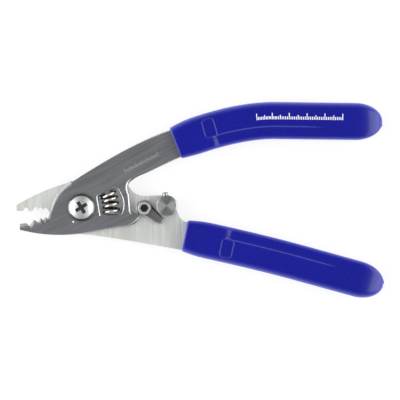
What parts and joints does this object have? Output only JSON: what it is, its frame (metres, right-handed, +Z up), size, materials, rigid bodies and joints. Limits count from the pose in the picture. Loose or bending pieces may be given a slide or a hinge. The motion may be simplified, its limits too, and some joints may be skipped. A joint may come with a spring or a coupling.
{
  "type": "fibre stripper",
  "caption": "Plier-type fibre stripper: crossed steel plates with notched jaws, a coil return spring, a handle latch, an adjustable closing stop and moulded grips.",
  "frame": {"origin": "middle of the object's box, on the plane it lies on", "axes": "+X from the jaws to the handle ends, +Y towards the upper handle, +Z up through the thickness towards the head of the pivot screw"},
  "size_m": [0.1506, 0.0802, 0.0102],
  "materials": {
    "dark_steel": "brushed along the handle, seen dark",
    "light_steel": "brushed across, bright",
    "bright_steel": "bright plated",
    "spring_steel": "drawn wire",
    "lever_steel": "dark, lightly polished",
    "turned_steel": "face turned on a lathe",
    "grip_vinyl": "glossy moulded vinyl"
  },
  "bodies": {
    "back_half": {"back_plate": "light_steel", "lower_grip": "grip_vinyl", "pivot_screw": "bright_steel", "pivot_washer": "bright_steel", "pivot_nut": "bright_steel", "return_spring": "spring_steel", "latch_washer": "bright_steel", "latch_screw": "bright_steel", "stop_post": "turned_steel"},
    "front_half": {"front_plate": "dark_steel", "upper_grip": "grip_vinyl"},
    "latch": {"latch_lever": "lever_steel"},
    "stop": {"stop_screw": "lever_steel"}
  },
  "joints": [
    {"name": "handle_pivot", "type": "hinge", "parent": "back_half", "child": "front_half", "pos_m": [-0.0485, -0.00305, 0.0051], "axis": [0, 0, 1], "range_deg": [-16.8, 0], "stiffness_Nm_per_rad": 1.2, "springref_deg": 5.73, "deforming": ["return_spring"]},
    {"name": "latch_swing", "type": "hinge", "parent": "back_half", "child": "latch", "pos_m": [-0.0227, -0.0033, 0.006], "axis": [0, 0, 1], "range_deg": [-43, 0]},
    {"name": "stop_screw_travel", "type": "slide", "parent": "back_half", "child": "stop", "axis": [-0.1305, 0.9914, 0], "range_m": [-0.0012, 0]}
  ]
}
